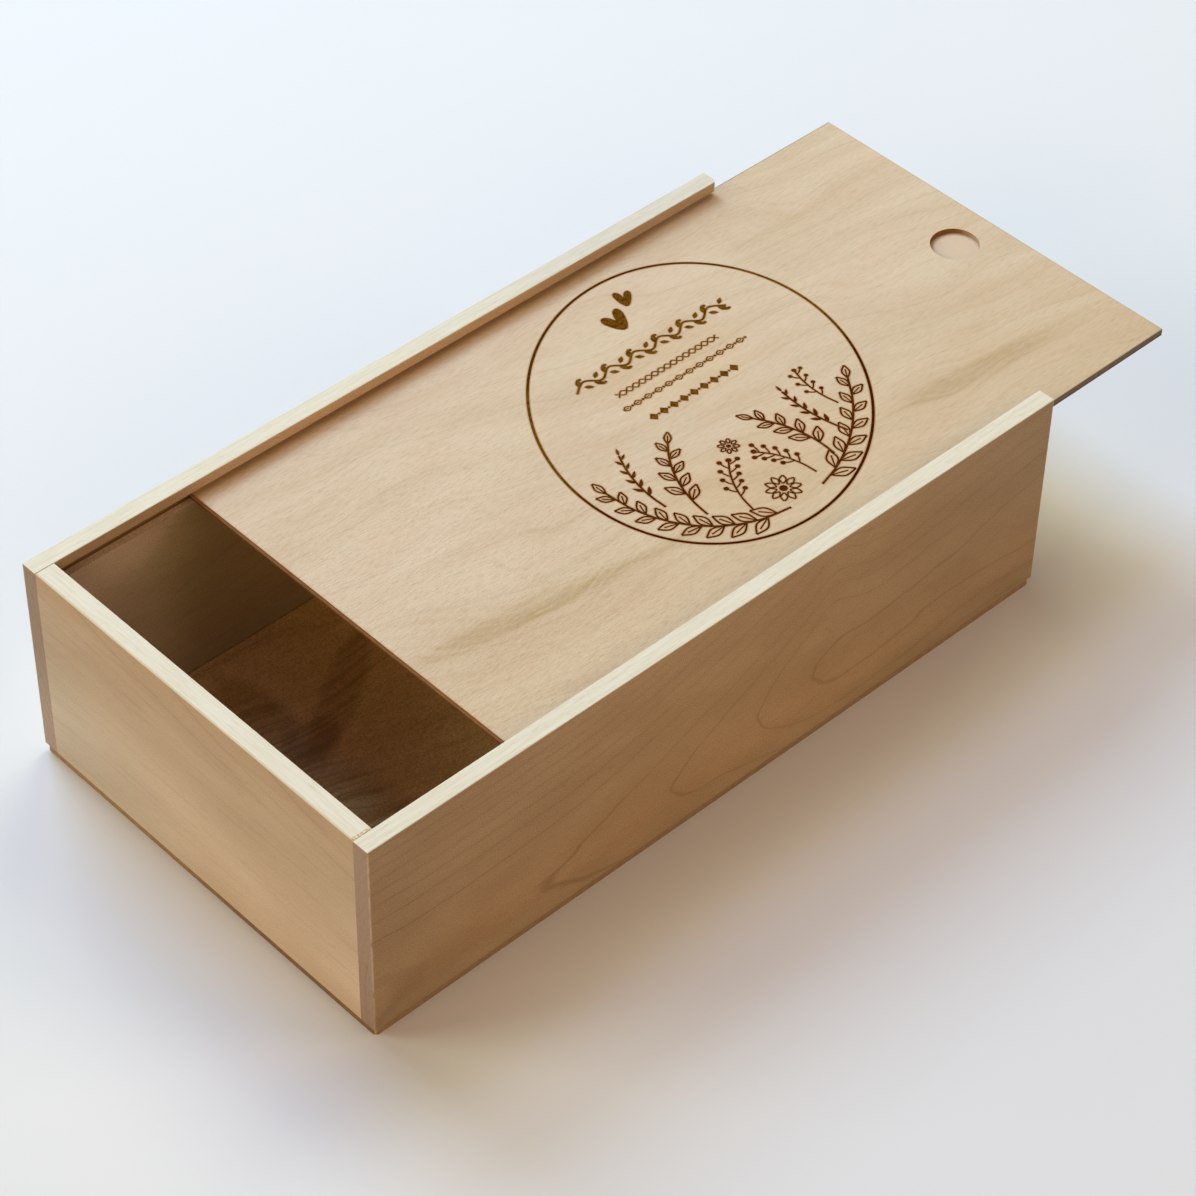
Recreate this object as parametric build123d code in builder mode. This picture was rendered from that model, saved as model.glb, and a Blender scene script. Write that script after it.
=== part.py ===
from build123d import *
import os

# Keepsake box: four glued boards on a plywood base, and a plywood lid that slides in
# grooves and comes off over the low end board. Millimetres, +Z up, +X the way the lid
# opens, +Y the left long board. The origin is the middle of the base's underside.

os.makedirs("parts", exist_ok=True)

# ---- driving dimensions ----------------------------------------------------------

box_length = 360.0  # outside, along X
box_width = 200.0  # outside, along Y
box_height = 101.0  # outside, along Z, base panel included

side_thickness = 8.0  # the two long boards
end_thickness = 9.0  # the two end boards, which stand between the long ones
edge_ease = 0.4  # sanded rounding of the boards' outer edges
lip_corner_round = 1.6  # worn corner of the left lip, where the lid comes out

base_skin = 1.0  # each outer ply of the base panel
base_core = 1.8  # its middle ply
base_inset = 0.5  # the panel stops this far inside the boards' faces
base_corner_round = 2.0

lid_skin = 0.8  # each outer ply of the lid
lid_core = 1.6  # its middle ply
lid_play_below = 0.2  # running clearance over the groove's floor
lid_play_above = 2.1  # room between the lid and the lips
lid_play_side = 0.6  # room between the lid's long edge and the groove's back
lid_play_end = 0.4  # room in front of the lid's edge when it is shut
lid_opening = 72.6  # how far the lid stands open in the modelled pose

lip_height = 4.8  # wood above the grooves
groove_depth = 4.0  # into the long boards
end_groove_depth = 5.8  # into the closed end board

recess_radius = 10.5  # round thumb recess in the lid
recess_depth = 2.1
recess_from_edge = 22.0  # from the lid's far edge to the recess's middle

brad_length = 16.0  # the brads that hold the base panel to the boards
brad_radius = 0.6
brad_head_radius = 1.1
brad_head_thickness = 0.6
brad_sink = 0.1  # the heads lie this far inside the underside
brad_clearance = 0.05  # radial room around a brad
side_brad_count = 4  # along each long board
side_brad_spacing = 95.0
end_brad_count = 2  # along each end board
end_brad_spacing = 90.0

# ---- sizes that follow -----------------------------------------------------------

base_thickness = 2 * base_skin + base_core
lid_thickness = 2 * lid_skin + lid_core

inner_width = box_width - 2 * side_thickness
side_middle_y = (box_width - side_thickness) / 2
end_middle_x = (box_length - end_thickness) / 2
board_height = box_height - base_thickness
board_middle_z = base_thickness + board_height / 2

open_end_x = box_length / 2
closed_inner_x = end_thickness - box_length / 2

groove_height = lid_play_below + lid_thickness + lid_play_above
groove_floor_z = box_height - lip_height - groove_height
groove_middle_z = groove_floor_z + groove_height / 2
groove_start_x = closed_inner_x - end_groove_depth
groove_length = open_end_x - groove_start_x
low_end_height = groove_floor_z - base_thickness

lid_shut_x = groove_start_x + lid_play_end
lid_length = open_end_x - lid_shut_x
lid_width = inner_width + 2 * (groove_depth - lid_play_side)
lid_middle_x = lid_shut_x + lid_opening + lid_length / 2
lid_bottom_z = groove_floor_z + lid_play_below
lid_top_z = lid_bottom_z + lid_thickness
lid_core_z = lid_bottom_z + lid_skin
lid_face_z = lid_core_z + lid_core
recess_x = lid_middle_x + lid_length / 2 - recess_from_edge

base_length = box_length - 2 * base_inset
base_width = box_width - 2 * base_inset

brad_places = (
    GridLocations(side_brad_spacing, 2 * side_middle_y, side_brad_count, 2).locations
    + GridLocations(2 * end_middle_x, end_brad_spacing, 2, end_brad_count).locations
)
brad_hole_top_z = brad_sink + brad_length + brad_clearance
brad_head_top_z = brad_sink + brad_head_thickness


# ---- cutters: what the brads and the thumb recess take out of the pieces ------------

with BuildPart() as brad_holes:
    with BuildSketch(Plane.XY):
        with Locations(*brad_places):
            Circle(brad_radius + brad_clearance)
    extrude(amount=brad_hole_top_z)
    with BuildSketch(Plane.XY):
        with Locations(*brad_places):
            Circle(brad_head_radius + brad_clearance)
    extrude(amount=brad_head_top_z)

with BuildPart() as thumb_recess:
    with BuildSketch(Plane.XY.offset(lid_top_z)):
        with Locations((recess_x, 0)):
            Circle(recess_radius)
    extrude(amount=-recess_depth)

# ---- long boards: full length, grooved, the groove stopping inside the end joint ----

with BuildPart() as side_board_right:
    with BuildSketch(Plane.YZ.offset(-box_length / 2)):
        with Locations((-side_middle_y, board_middle_z)):
            Rectangle(side_thickness, board_height)
    extrude(amount=box_length)
    top_edges = faces().sort_by(Axis.Z)[-1].edges().filter_by(Axis.X)
    outer_corners = faces().sort_by(Axis.Y)[0].edges().filter_by(Axis.Z)
    fillet(top_edges + outer_corners, edge_ease)
    with BuildSketch(Plane.YZ.offset(groove_start_x)):
        with Locations((-(inner_width + groove_depth) / 2, groove_middle_z)):
            Rectangle(groove_depth, groove_height)
    extrude(amount=groove_length, mode=Mode.SUBTRACT)
    add(brad_holes.part, mode=Mode.SUBTRACT)

with BuildPart() as side_board_left:
    add(mirror(side_board_right.part, about=Plane.XZ, mode=Mode.PRIVATE))
    with BuildSketch(Plane.XY.offset(box_height)):
        with Locations((open_end_x, inner_width / 2)):
            Rectangle(2 * lip_corner_round, 2 * lip_corner_round)
        with Locations((open_end_x - lip_corner_round, inner_width / 2 + lip_corner_round)):
            Circle(lip_corner_round, mode=Mode.SUBTRACT)
    extrude(amount=-lip_height, mode=Mode.SUBTRACT)

# ---- end boards: the closed one takes the lid's edge, the lid clears the low one ----

with BuildPart() as end_board_closed:
    with BuildSketch(Plane.XY.offset(base_thickness)):
        with Locations((-end_middle_x, 0)):
            Rectangle(end_thickness, inner_width)
    extrude(amount=board_height)
    fillet(faces().sort_by(Axis.Z)[-1].edges().filter_by(Axis.Y), edge_ease)
    with BuildSketch(Plane.XZ.offset(-inner_width / 2)):
        with Locations((closed_inner_x - end_groove_depth / 2, groove_middle_z)):
            Rectangle(end_groove_depth, groove_height)
    extrude(amount=inner_width, mode=Mode.SUBTRACT)
    add(brad_holes.part, mode=Mode.SUBTRACT)

with BuildPart() as end_board_low:
    with BuildSketch(Plane.XY.offset(base_thickness)):
        with Locations((end_middle_x, 0)):
            Rectangle(end_thickness, inner_width)
    extrude(amount=low_end_height)
    fillet(faces().sort_by(Axis.Z)[-1].edges().filter_by(Axis.Y), edge_ease)
    add(brad_holes.part, mode=Mode.SUBTRACT)

# ---- base panel: three plies under all four boards ----------------------------------

with BuildSketch() as base_outline:
    RectangleRounded(base_length, base_width, base_corner_round)

with BuildPart() as base_bottom_ply:
    add(base_outline.sketch)
    extrude(amount=base_skin)
    add(brad_holes.part, mode=Mode.SUBTRACT)

with BuildPart() as base_core_ply:
    with BuildSketch(Plane.XY.offset(base_skin)):
        add(base_outline.sketch)
    extrude(amount=base_core)
    add(brad_holes.part, mode=Mode.SUBTRACT)

with BuildPart() as base_top_ply:
    with BuildSketch(Plane.XY.offset(base_skin + base_core)):
        add(base_outline.sketch)
    extrude(amount=base_skin)
    add(brad_holes.part, mode=Mode.SUBTRACT)

with BuildPart() as base_brads:
    with BuildSketch(Plane.XY.offset(brad_sink)):
        with Locations(*brad_places):
            Circle(brad_radius)
    extrude(amount=brad_length)
    with BuildSketch(Plane.XY.offset(brad_sink)):
        with Locations(*brad_places):
            Circle(brad_head_radius)
    extrude(amount=brad_head_thickness)

# ---- lid: three plies, with a thumb recess cut into the upper two -------------------

with BuildPart() as lid_back_ply:
    with BuildSketch(Plane.XY.offset(lid_bottom_z)):
        with Locations((lid_middle_x, 0)):
            Rectangle(lid_length, lid_width)
    extrude(amount=lid_skin)

with BuildPart() as lid_core_ply:
    with BuildSketch(Plane.XY.offset(lid_core_z)):
        with Locations((lid_middle_x, 0)):
            Rectangle(lid_length, lid_width)
    extrude(amount=lid_core)
    add(thumb_recess.part, mode=Mode.SUBTRACT)

with BuildPart() as lid_face_ply:
    with BuildSketch(Plane.XY.offset(lid_face_z)):
        with Locations((lid_middle_x, 0)):
            Rectangle(lid_length, lid_width)
    extrude(amount=lid_skin)
    add(thumb_recess.part, mode=Mode.SUBTRACT)

# ---- export --------------------------------------------------------------------------

side_board_right.part.label = "side_board_right"
side_board_left.part.label = "side_board_left"
end_board_closed.part.label = "end_board_closed"
end_board_low.part.label = "end_board_low"
base_bottom_ply.part.label = "base_bottom_ply"
base_core_ply.part.label = "base_core_ply"
base_top_ply.part.label = "base_top_ply"
base_brads.part.label = "base_brads"
lid_back_ply.part.label = "lid_back_ply"
lid_core_ply.part.label = "lid_core_ply"
lid_face_ply.part.label = "lid_face_ply"

export_step(side_board_right.part, "parts/side_board_right.step")
export_step(side_board_left.part, "parts/side_board_left.step")
export_step(end_board_closed.part, "parts/end_board_closed.step")
export_step(end_board_low.part, "parts/end_board_low.step")
export_step(base_bottom_ply.part, "parts/base_bottom_ply.step")
export_step(base_core_ply.part, "parts/base_core_ply.step")
export_step(base_top_ply.part, "parts/base_top_ply.step")
export_step(base_brads.part, "parts/base_brads.step")
export_step(lid_back_ply.part, "parts/lid_back_ply.step")
export_step(lid_core_ply.part, "parts/lid_core_ply.step")
export_step(lid_face_ply.part, "parts/lid_face_ply.step")
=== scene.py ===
"""Looks of the keepsake box: bare wood on every board, a plywood lid with a laser-burnt
ring, hearts, borders and laurel, scorched plywood edges, and a soft daylight studio."""

import math

import bmesh
import bpy
from mathutils import Matrix, Vector
from mathutils.geometry import delaunay_2d_cdt


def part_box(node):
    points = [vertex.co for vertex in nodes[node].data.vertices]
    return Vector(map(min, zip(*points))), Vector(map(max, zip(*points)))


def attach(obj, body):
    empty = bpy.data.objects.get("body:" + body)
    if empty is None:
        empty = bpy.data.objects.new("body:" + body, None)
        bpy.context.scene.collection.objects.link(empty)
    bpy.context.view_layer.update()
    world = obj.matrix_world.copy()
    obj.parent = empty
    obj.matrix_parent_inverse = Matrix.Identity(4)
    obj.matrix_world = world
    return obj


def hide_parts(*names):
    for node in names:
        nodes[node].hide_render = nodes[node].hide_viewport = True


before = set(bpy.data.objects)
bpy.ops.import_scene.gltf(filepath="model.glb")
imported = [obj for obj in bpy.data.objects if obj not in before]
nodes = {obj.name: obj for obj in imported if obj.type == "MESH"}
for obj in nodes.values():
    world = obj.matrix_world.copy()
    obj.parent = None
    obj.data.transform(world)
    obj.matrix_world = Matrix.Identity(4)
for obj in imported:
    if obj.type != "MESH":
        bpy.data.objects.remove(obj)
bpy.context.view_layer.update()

MM = 0.001


# ---- shader maths --------------------------------------------------------------------


class Value:
    """A socket in a node tree. Arithmetic on it adds Math nodes."""

    def __init__(self, graph, socket):
        self.graph = graph
        self.socket = socket

    def math(self, operation, *others, first=None):
        terms = [self, *others] if first is None else [first, self]
        return self.graph.node("ShaderNodeMath", {"operation": operation}, terms)

    def __add__(self, other):
        return self.math("ADD", other)

    __radd__ = __add__

    def __sub__(self, other):
        return self.math("SUBTRACT", other)

    def __rsub__(self, other):
        return self.math("SUBTRACT", first=other)

    def __mul__(self, other):
        return self.math("MULTIPLY", other)

    __rmul__ = __mul__

    def __truediv__(self, other):
        return self.math("DIVIDE", other)

    def __rtruediv__(self, other):
        return self.math("DIVIDE", first=other)

    def __pow__(self, other):
        return self.math("POWER", other)

    def __abs__(self):
        return self.math("ABSOLUTE")

    def __neg__(self):
        return self.math("MULTIPLY", -1.0)


class Graph:
    """A node tree, emptied, and the one way to add nodes to it."""

    def __init__(self, tree):
        self.tree = tree
        self.tree.nodes.clear()

    def node(self, kind, settings=None, inputs=None, output=0):
        """Add a node of a kind, with its settings made before its inputs."""
        made = self.tree.nodes.new(kind)
        for name, value in (settings or {}).items():
            setattr(made, name, value)
        inputs = inputs or {}
        pairs = inputs.items() if isinstance(inputs, dict) else enumerate(inputs)
        for name, value in pairs:
            if isinstance(value, Value):
                self.tree.links.new(value.socket, made.inputs[name])
            else:
                made.inputs[name].default_value = value
        return Value(self, made.outputs[output]) if made.outputs else made


class Finish(Graph):
    """One material. x, y and z are a point's place in the box's frame, in millimetres."""

    def __init__(self, name):
        self.material = bpy.data.materials.new(name)
        self.material.use_nodes = True
        super().__init__(self.material.node_tree)
        place = self.node("ShaderNodeTexCoord", output="Object")
        self.x, self.y, self.z = (
            self.node("ShaderNodeSeparateXYZ", {}, {"Vector": place}, output=axis) / MM
            for axis in "XYZ"
        )

    def noise(self, x, y, z, detail=2.0, roughness=0.5, seed=0.0):
        """Noise from 0 to 1, about 0.5, over coordinates already scaled to its cells."""
        return self.node(
            "ShaderNodeTexNoise",
            {"noise_dimensions": "4D"},
            {
                "Vector": self.node("ShaderNodeCombineXYZ", {}, [x, y, z]),
                "W": seed,
                "Scale": 1.0,
                "Detail": detail,
                "Roughness": roughness,
            },
        )

    def step(self, value, low, high, start=0.0, end=1.0):
        """A smooth change from start to end as value goes from low to high."""
        return self.node(
            "ShaderNodeMapRange",
            {"interpolation_type": "SMOOTHERSTEP"},
            {0: value, 1: low, 2: high, 3: start, 4: end},
        )

    def within(self, value, middle, reach, soft):
        """1 where value is within reach of middle, and 0 from soft further out."""
        return self.step(abs(value - middle), reach, reach + soft, 1.0, 0.0)

    def mix(self, factor, first, second, blend="MIX"):
        """Colour first where factor is 0 and second where it is 1."""
        first, second = (
            colour if isinstance(colour, Value) else (*colour, 1.0)
            for colour in (first, second)
        )
        return self.node(
            "ShaderNodeMix",
            {"data_type": "RGBA", "blend_type": blend, "clamp_factor": True},
            {0: factor, 6: first, 7: second},
            output=2,
        )

    def shade(self, colour, amount, tint):
        """colour, multiplied by tint where amount is 1."""
        return self.mix(amount, colour, tint, blend="MULTIPLY")

    def grade(self, colour, *changes):
        """colour with slow changes of tone, each a value, its low, its high and a tint."""
        for value, low, high, tint in changes:
            colour = self.shade(colour, self.step(value, low, high), tint)
        return colour

    def bump(self, height, distance):
        """A Normal for a height from 0 to 1 that stands for distance millimetres."""
        return self.node(
            "ShaderNodeBump",
            {},
            {"Strength": 1.0, "Distance": distance * MM, "Height": height},
        )

    def surface(self, colour, roughness, normal=None, specular=0.25, metallic=0.0):
        inputs = {
            "Base Color": colour,
            "Roughness": roughness,
            "Specular IOR Level": specular,
            "Metallic": metallic,
        }
        if normal is not None:
            inputs["Normal"] = normal
        shader = self.node("ShaderNodeBsdfPrincipled", {}, inputs)
        self.node("ShaderNodeOutputMaterial", {}, {"Surface": shader})
        return self.material


def srgb(*levels):
    """A colour as the shaders take it, from sRGB levels of 0 to 255."""
    shares = (level / 255 for level in levels)
    return tuple(
        share / 12.92 if share <= 0.04045 else ((share + 0.055) / 1.055) ** 2.4
        for share in shares
    )


# ---- camera --------------------------------------------------------------------------

camera_place = Vector((-0.72139, -0.77401, 1.05513))
camera_target = Vector((0.0406, 0.0151, 0.0))
camera_roll = math.radians(1.12)
lens_length = 110.5

scene = bpy.context.scene
camera_data = bpy.data.cameras.new("camera")
camera_data.lens = lens_length
camera_data.sensor_width = 36.0
camera_data.clip_start = 0.05
camera_data.clip_end = 50.0
camera = bpy.data.objects.new("camera", camera_data)
aim = (camera_target - camera_place).to_track_quat("-Z", "Y")
camera.rotation_mode = "QUATERNION"
camera.rotation_quaternion = aim @ Matrix.Rotation(camera_roll, 4, "Z").to_quaternion()
camera.location = camera_place
scene.collection.objects.link(camera)
scene.camera = camera


# ---- light ---------------------------------------------------------------------------

scene.view_settings.view_transform = "Standard"

cool_fill = (0.018, 0.020, 0.065, 1.0)
pale_backdrop = (0.86, 0.89, 0.91, 1.0)
lamp_distance = 3.5
lamp_width = 1.5

# each lamp: its bearing clockwise from +Y and its rise, in degrees, its height in
# metres and the light that it throws on a level floor, as a colour
lamps = {
    "low_sky": (0, 18, 1.5, (0.057, 0.059, 0.034)),
    "window": (12, 44, 1.4, (0.248, 0.350, 0.455)),
    "window_head": (12, 66, 0.9, (0.024, 0.045, 0.130)),
    "right_window": (62, 56, 1.4, (0.265, 0.258, 0.169)),
    "left_wall": (-50, 28, 1.5, (0.140, 0.145, 0.104)),
    "near_left_wall": (-90, 28, 1.5, (0.098, 0.053, 0.029)),
    "front_left_wall": (-135, 28, 1.5, (0.064, 0.049, 0.017)),
    "front_wall": (180, 28, 1.5, (0.045, 0.039, 0.017)),
    "front_right_wall": (135, 28, 1.5, (0.095, 0.065, 0.047)),
}


def light_room():
    """A weak cool fill, and a pale backdrop that only sight and reflections see."""
    world = bpy.data.worlds.new("studio")
    world.use_nodes = True
    scene.world = world
    room = Graph(world.node_tree)
    seen = sum(
        (
            room.node("ShaderNodeLightPath", output=f"Is {ray} Ray")
            for ray in ("Camera", "Glossy")
        ),
        room.node("ShaderNodeLightPath", output="Is Transmission Ray"),
    )
    fill, backdrop = (
        room.node("ShaderNodeBackground", {}, {"Color": colour, "Strength": 1.0})
        for colour in (cool_fill, pale_backdrop)
    )
    mixed = room.node("ShaderNodeMixShader", {}, [seen, fill, backdrop])
    room.node("ShaderNodeOutputWorld", {}, {"Surface": mixed})


def soft_lamp(name, bearing, rise, height, level):
    bearing, rise = math.radians(bearing), math.radians(rise)
    way = Vector((math.sin(bearing), math.cos(bearing), math.tan(rise))).normalized()
    lamp_data = bpy.data.lights.new(name, "AREA")
    lamp_data.shape = "RECTANGLE"
    lamp_data.size = lamp_width
    lamp_data.size_y = height
    lamp_data.color = level
    lamp_data.energy = math.pi**2 * lamp_distance**2 / way.z
    lamp = bpy.data.objects.new(name, lamp_data)
    lamp.location = way * lamp_distance
    lamp.rotation_mode = "QUATERNION"
    lamp.rotation_quaternion = way.to_track_quat("Z", "Y")
    lamp.visible_camera = False
    scene.collection.objects.link(lamp)


light_room()
for name, lamp in lamps.items():
    soft_lamp(name, *lamp)


# ---- floor ---------------------------------------------------------------------------

floor_reach = 6.0

floor_mesh = bpy.data.meshes.new("floor")
floor_form = bmesh.new()
bmesh.ops.create_grid(floor_form, x_segments=2, y_segments=2, size=floor_reach)
floor_form.to_mesh(floor_mesh)
floor_form.free()
floor = bpy.data.objects.new("floor", floor_mesh)
scene.collection.objects.link(floor)

paper = Finish("floor_paper")
cloud = paper.noise(paper.x / 400, paper.y / 400, 0.0)
paper_colour = paper.mix(cloud, (0.785, 0.79, 0.822), (0.80, 0.805, 0.837))
floor.data.materials.append(paper.surface(paper_colour, 0.9, specular=0.1))


# ---- finishes ------------------------------------------------------------------------

# places in millimetres, read from the frame
lid_low, lid_high = (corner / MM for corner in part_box("lid_face_ply"))
side_face = -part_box("side_board_right")[0].y / MM
side_inner = -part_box("side_board_right")[1].y / MM
side_thickness = side_face - side_inner
end_face = -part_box("end_board_closed")[0].x / MM
end_inner = -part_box("end_board_closed")[1].x / MM
end_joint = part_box("end_board_closed")[1].y / MM
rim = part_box("side_board_right")[1].z / MM
groove_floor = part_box("end_board_low")[1].z / MM
wall_low = Vector((-end_inner, -side_inner))
wall_high = Vector((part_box("end_board_low")[0].x / MM, side_inner))

# places that the frame doesn't give, as in the part
groove_height = 5.5
groove_middle = groove_floor + groove_height / 2
groove_back = 4.0  # how deep it lies under a long board's outer face
notch_middle = (lid_high.x - 22.0, 0.0)
notch_radius = 10.5

# places on the lid's face
ring_middle = Vector((82.2, 1.6))
ring_half_long = 85.9
ring_half_short = 69.0
ring_turn = math.radians(51.6)
hearts_middle = (96.0, 62.5)


def square_distance(wood, middle):
    """How far a point is from an upright line through middle, squared."""
    return (wood.x - middle[0]) ** 2 + (wood.y - middle[1]) ** 2


def edge_gap(wood, low, high):
    """How far a point is from the nearest side of the rectangle low to high."""
    return (
        (wood.x - low.x)
        .math("MINIMUM", high.x - wood.x)
        .math("MINIMUM", high.y - abs(wood.y))
    )


def ripple(wood, along, across, depth, reach, seed):
    """Slow unevenness of reach millimetres either way."""
    drift = wood.noise(along / 45, across / 12, depth / 12, detail=1.0, seed=seed)
    wobble = wood.noise(along / 11, across / 4, depth / 4, detail=2.0, seed=seed + 1)
    return (drift - 0.5) * (2 * reach) + (wobble - 0.5) * (0.35 * reach)


def growth_lines(wood, phase, thin, soft):
    """How dark the yearly lines are, from 0 to 1, where phase passes a whole number."""
    nearness = abs(phase.math("FRACT") - 0.5) * 2
    return wood.step(nearness, 1 - thin, 1.0) + wood.step(nearness, 0.25, 1.0) * soft


def fibre_marks(wood, along, across, depth, seed, length=5.0, width=0.55):
    """Two sizes of short dark marks along the grain, the fine and the coarse."""

    def marks(length, width, roughness, seed):
        return wood.noise(along / length, across / width, depth / width, 2.0, roughness, seed)

    return marks(length, width, 0.6, seed), marks(3.2 * length, 2.6 * width, 0.5, seed + 3)


def specks(wood, size, seed):
    """Even specks all over, from 0 to 1."""
    noise = wood.noise(wood.x / size, wood.y / size, wood.z / size, 2.0, 0.6, seed)
    return wood.step(noise, 0.3, 0.7)


def speckled(wood, colour, amount):
    """The colour with the felt-like speckle of sanded wood."""
    return wood.shade(colour, specks(wood, 0.5, seed=8.0), (1 - amount,) * 3)


def flecked(wood, colour, contrast, where=1.0):
    """The colour with paler and darker flecks about the same middle tone."""
    pale, dark = (1 + contrast,) * 3, (1 - contrast,) * 3
    return wood.shade(colour, where, wood.mix(specks(wood, 0.6, seed=126.0), pale, dark))


def rim_wood(wood, fine, along, across):
    """A planed upper edge: pale, streaked, with darker fibres."""
    streaks = wood.noise(along / 26, across / 1.1, 0.0, 2.0, 0.55, seed=17.0)
    colour = wood.mix(
        wood.step(streaks, 0.36, 0.64), srgb(229, 221, 203), srgb(223, 213, 191)
    )
    return wood.grade(colour, (fine, 0.45, 0.8, (0.90, 0.87, 0.82)))


def on_rim_of(wood):
    """1 on a board's upper edge."""
    return wood.step(wood.z, rim - 0.28, rim - 0.12)


def grain_height(fine, coarse):
    return fine * 0.6 + coarse * 0.4


def long_board(
    name, side, pale, deep, figure, line_depth, inner_tints, far_rim_tint, end_grain
):
    """A long board's finish. side is 1 for the left board and -1 for the right one.

    figure(wood, inward) is the phase of its growth lines. inner_tints are for the lip
    over the groove, and for the inner face near the closed end and away from it; on the
    left board the inner face is cooler near the closed end, and darker away from it,
    painted shade under the lid.
    """
    wood = Finish(name)
    x, y, z = wood.x, wood.y, wood.z
    inward = side_face - y * side
    fine, coarse = fibre_marks(wood, x, z, y, seed=5.0 + side)
    tone = wood.noise(x / 60, z / 22, y / 9, detail=2.0, seed=9.0 + side)

    # growth lines, sharp but for a blurred figure at the foot of the closed end
    blurred = wood.step(x, -163, -145, 1.0, 0.0) * wood.step(z, 45, 30)
    lines = growth_lines(wood, figure(wood, inward), thin=0.09 + blurred * 0.25, soft=0.18)
    faint = wood.step(z, 40, 80, 1.0, 0.8) * wood.step(x, -110, -20, 1.4, 1.05)
    faint = faint * line_depth * (1 - blurred * 0.5)
    colour = wood.mix(wood.step(tone, 0.3, 0.7), pale, deep)
    colour = wood.shade(colour, lines * faint, (0.60, 0.52, 0.44))
    colour = wood.grade(
        colour,
        (fine, 0.42, 0.78, (0.88, 0.86, 0.83)),
        (coarse, 0.5, 0.8, (0.94, 0.93, 0.91)),
    )
    colour = speckled(wood, colour, 0.34)
    colour = wood.grade(
        colour,
        (z, 65, 5, (1.14, 1.13, 1.17)),  # paler low down, painted light bounced from the floor
        (z, 22, 4, (0.95, 1.03, 1.10)),  # greyer at the foot, painted cool bounce light
        (x, -178, -112, (1.12, 1.10, 1.10)),  # paler away from the closed end
        (x, -120, -20, (1.06, 1.05, 1.0)),
        (x, 20, 175, (0.83, 0.87, 0.91)),  # darker towards the low end
    )

    # the inner face: a darker tint away from the closed end is painted shade under the lid
    lip_tint, near_tint, far_tint = inner_tints
    inner_tint = wood.mix(wood.step(x, -145, -98), near_tint, far_tint)
    over_groove = wood.step(z, groove_middle - 3.5, groove_middle)
    inner_tint = wood.mix(over_groove, inner_tint, lip_tint)
    inside = (inward, side_thickness - 0.4, side_thickness - 0.1, inner_tint)
    colour = wood.grade(colour, inside)
    in_groove = wood.within(z, groove_middle, groove_height / 2 + 0.10, 0.15)
    # painted light: the groove's ledges are made paler, lifting the lip's shadow on them
    ledges = in_groove * wood.within(inward, groove_back + 2.4, 1.3, 0.2)
    colour = wood.shade(colour, ledges, (1.25, 1.28, 1.34))
    # painted shade: the back of the groove is darkened, deep under the lip
    back = in_groove * wood.within(inward, groove_back + 0.3, 0.3, 0.3)
    colour = wood.shade(colour, back, (0.38, 0.28, 0.18))

    on_rim = on_rim_of(wood)
    rim_colour = wood.shade(rim_wood(wood, fine, x, y), lines * 0.25, (0.80, 0.76, 0.66))
    arris = wood.within(inward, 0.0, 0.0, 0.9)
    rim_colour = wood.shade(rim_colour, arris * 0.5, (0.93, 0.86, 0.74))
    rim_colour = wood.grade(rim_colour, (x, -40, 150, far_rim_tint))
    colour = wood.mix(on_rim, colour, rim_colour)

    pores = wood.noise(x / 0.5, y / 0.5, z / 0.9, 2.0, 0.6, seed=21.0)
    bars = wood.noise(x / 3, y / 1.2, z / 5, 2.0, 0.5, seed=24.0)
    end_colour = wood.grade(
        wood.shade(end_grain, lines * 0.25, (0.62, 0.56, 0.5)),
        (pores, 0.4, 0.75, (0.78, 0.75, 0.72)),
        (bars, 0.5, 0.75, (0.86, 0.82, 0.80)),
    )
    if side > 0:
        # paler and cooler low down, painted floor bounce light as on the end boards
        end_colour = wood.grade(end_colour, (z, 70, 15, (1.30, 1.38, 1.50)))
    on_end = wood.step(abs(x), end_face - 0.16, end_face - 0.08)
    colour = wood.mix(on_end * (1 - on_rim * 0.7), colour, end_colour)

    # frayed, pale upright corners
    frayed = wood.noise(x / 2, y / 2, z / 7, 3.0, 0.6, seed=33.0)
    from_corner = abs(abs(x) - end_face) + inward + (frayed - 0.5) * 1.2
    corner = wood.step(from_corner, 0.1, 0.9, 1.0, 0.0) * wood.step(frayed, 0.34, 0.54)
    corner = corner * wood.step(z, 0, 50, 0.3, 0.55)
    colour = wood.mix(corner, colour, srgb(218, 192, 162))
    return wood.surface(
        colour, 0.6, wood.bump(grain_height(fine, coarse) - lines * 0.2, 0.04)
    )


def uneven_rings(wood, inward, reach, seed):
    """What spaces the rings unevenly, up to half of reach either way."""
    return (wood.noise(wood.x / 25, wood.z / 9, inward / 9, 1.0, seed=seed) - 0.5) * reach


def right_figure(wood, inward):
    """Growth rings cut nearly along the heart: arches that open towards the far end."""
    x, z = wood.x, wood.z
    inner_spacing, outer_spacing = 560, 780
    heart = 19 + wood.step(x, -95, 60) * 16 + wood.step(x, 60, 180) * 9
    rise = z - heart + ripple(wood, x, z, wood.y, 1.5, seed=40.0)
    hump = (-(((x - 57) / 14) ** 2)).math("EXPONENT")
    rise = rise - hump * wood.step(rise, 6, 26) * 8
    depth = (
        141
        - wood.step(x, -190, -150) * 200
        + wood.step(x, -130, 60) * 1100
        + wood.step(x, -10, 70) * 747
        + wood.step(x, 120, 190) * 243
    )
    ring = rise**2 - depth + inward * 240 + uneven_rings(wood, inward, 120, 43.0)
    inner = ring.math("MINIMUM", 0.0)
    phase = ring / outer_spacing + inner * (1 / inner_spacing - 1 / outer_spacing)
    return phase - wood.step(ring, 0, 900) * 0.28


def left_figure(wood, inward):
    """Rings that run through the board at a slant, with one low arch."""
    x, z = wood.x, wood.z
    spacing = 700
    rise = z - 62 + x * 0.05 + ripple(wood, x, z, wood.y, 2.0, seed=60.0)
    ring = rise**2 + x * 9 - inward * 170 + uneven_rings(wood, inward, 200, 63.0)
    return ring / spacing


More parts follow.
